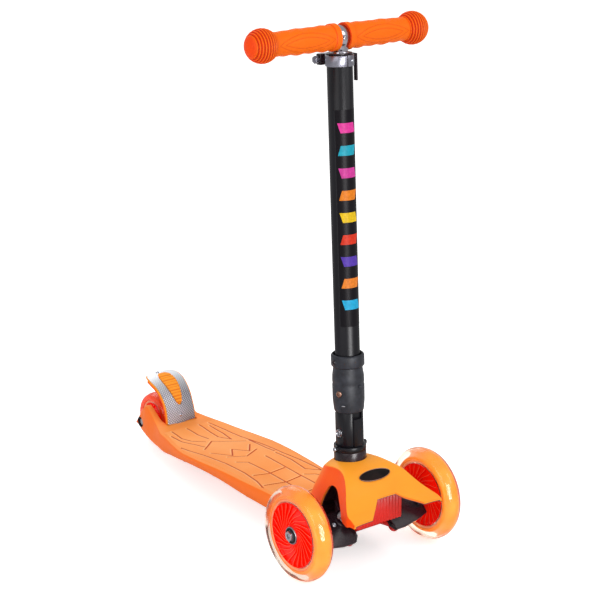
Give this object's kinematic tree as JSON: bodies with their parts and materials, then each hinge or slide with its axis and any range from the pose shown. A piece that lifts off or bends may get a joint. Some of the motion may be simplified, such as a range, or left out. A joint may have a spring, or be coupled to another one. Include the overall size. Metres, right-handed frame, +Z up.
{
  "type": "three wheel kids scooter",
  "caption": "Lean-steered three wheel kids scooter with folding telescopic column, moulded deck, sprung rear brake and clear-tyred wheels.",
  "frame": {"origin": "on the floor under the middle of the scooter's box", "axes": "+Z up the column, +Y towards the rear wheel, -Y the riding direction, X across the deck"},
  "size_m": [0.264, 0.5832, 0.6692],
  "materials": {
    "orange_shell": "fine grain",
    "orange_grip": "soft matt",
    "red_shell": "semi-gloss",
    "red_core": "translucent gloss",
    "clear_tyre": "clear cast urethane over orange",
    "black_shell": "satin",
    "black_paint": "satin",
    "silver_metal": "polished",
    "steel_parts": "zinc plated"
  },
  "bodies": {
    "chassis_body": {"deck": "orange_shell", "chassis": "black_shell", "nose_block": "red_shell", "front_cover": "orange_shell", "cover_badge": "black_shell", "neck_collar": "black_shell", "clamp_ring": "black_paint", "fold_clevis": "black_paint", "fold_pin": "steel_parts", "kingpin_left": "steel_parts", "kingpin_right": "steel_parts", "steer_spring_left": "steel_parts", "steer_spring_right": "steel_parts", "rear_axle": "steel_parts", "brake_pin": "steel_parts", "brake_spring": "steel_parts"},
    "arm_left": {"carrier_left": "black_shell", "axle_left": "steel_parts"},
    "arm_right": {"carrier_right": "black_shell", "axle_right": "steel_parts"},
    "tie": {"tie_rod": "red_shell"},
    "brake": {"brake_pedal": "orange_shell", "brake_plate": "silver_metal"},
    "column": {"hinge_tongue": "black_paint", "outer_tube": "black_paint", "tube_bush": "black_shell", "seat_clamp": "silver_metal", "clamp_skewer": "steel_parts", "clamp_block": "black_shell", "lock_spring": "steel_parts"},
    "lever": {"clamp_lever": "black_shell"},
    "sleeve": {"lock_sleeve": "black_shell", "sleeve_ring": "black_shell"},
    "handle": {"inner_tube": "silver_metal", "bar_stem": "silver_metal", "crossbar": "silver_metal", "grip_left": "orange_grip", "grip_right": "orange_grip"},
    "wheel_left": {"tyre_left": "clear_tyre", "core_left": "red_core", "bearing_left_a": "steel_parts", "bearing_left_b": "steel_parts", "spacer_left": "steel_parts"},
    "wheel_right": {"tyre_right": "clear_tyre", "core_right": "red_core", "bearing_right_a": "steel_parts", "bearing_right_b": "steel_parts", "spacer_right": "steel_parts"},
    "wheel_rear": {"tyre_rear": "clear_tyre", "core_rear": "red_core", "bearing_rear_a": "steel_parts", "bearing_rear_b": "steel_parts", "spacer_rear": "steel_parts"}
  },
  "joints": [
    {"name": "steer_left", "type": "hinge", "parent": "chassis_body", "child": "arm_left", "pos_m": [0.036, -0.22355, 0.06], "axis": [0, -0.7071, 0.7071], "range_deg": [-15, 15], "stiffness_Nm_per_rad": 7},
    {"name": "steer_right", "type": "hinge", "parent": "chassis_body", "child": "arm_right", "pos_m": [-0.036, -0.22355, 0.06], "axis": [0, -0.7071, 0.7071], "range_deg": [-15, 15], "stiffness_Nm_per_rad": 7},
    {"name": "tie_rod_pivot", "type": "hinge", "parent": "arm_left", "child": "tie", "pos_m": [0.036, -0.24264, 0.04091], "axis": [0, -0.7071, 0.7071], "range_deg": [-15, 15]},
    {"name": "spin_left", "type": "hinge", "parent": "arm_left", "child": "wheel_left", "pos_m": [0.1016, -0.22355, 0.06], "axis": [1, 0, 0], "continuous": true},
    {"name": "spin_right", "type": "hinge", "parent": "arm_right", "child": "wheel_right", "pos_m": [-0.1016, -0.22355, 0.06], "axis": [1, 0, 0], "continuous": true},
    {"name": "spin_rear", "type": "hinge", "parent": "chassis_body", "child": "wheel_rear", "pos_m": [0, 0.25405, 0.0375], "axis": [1, 0, 0], "continuous": true},
    {"name": "brake_press", "type": "hinge", "parent": "chassis_body", "child": "brake", "pos_m": [0, 0.19805, 0.046], "axis": [-1, 0, 0], "range_deg": [0, 14], "stiffness_Nm_per_rad": 1.2, "springref_deg": -20.05},
    {"name": "fold", "type": "hinge", "parent": "chassis_body", "child": "column", "pos_m": [0, -0.19359, 0.161], "axis": [-1, 0, 0], "range_deg": [0, 90]},
    {"name": "sleeve_lift", "type": "slide", "parent": "column", "child": "sleeve", "axis": [0, 0.0549, 0.9985], "range_m": [0, 0.025], "stiffness_N_per_m": 300, "springref_m": -0.03, "deforming": ["lock_spring"]},
    {"name": "height", "type": "slide", "parent": "column", "child": "handle", "axis": [0, 0.0549, 0.9985], "range_m": [0, 0.2]},
    {"name": "lever_open", "type": "hinge", "parent": "column", "child": "lever", "pos_m": [0.0124, -0.14429, 0.62008], "axis": [0, 0.0549, 0.9985], "range_deg": [0, 90]}
  ],
  "couplings": [
    {"joint": "steer_right", "follows": "steer_left", "ratio": 1},
    {"joint": "tie_rod_pivot", "follows": "steer_left", "ratio": -1}
  ]
}
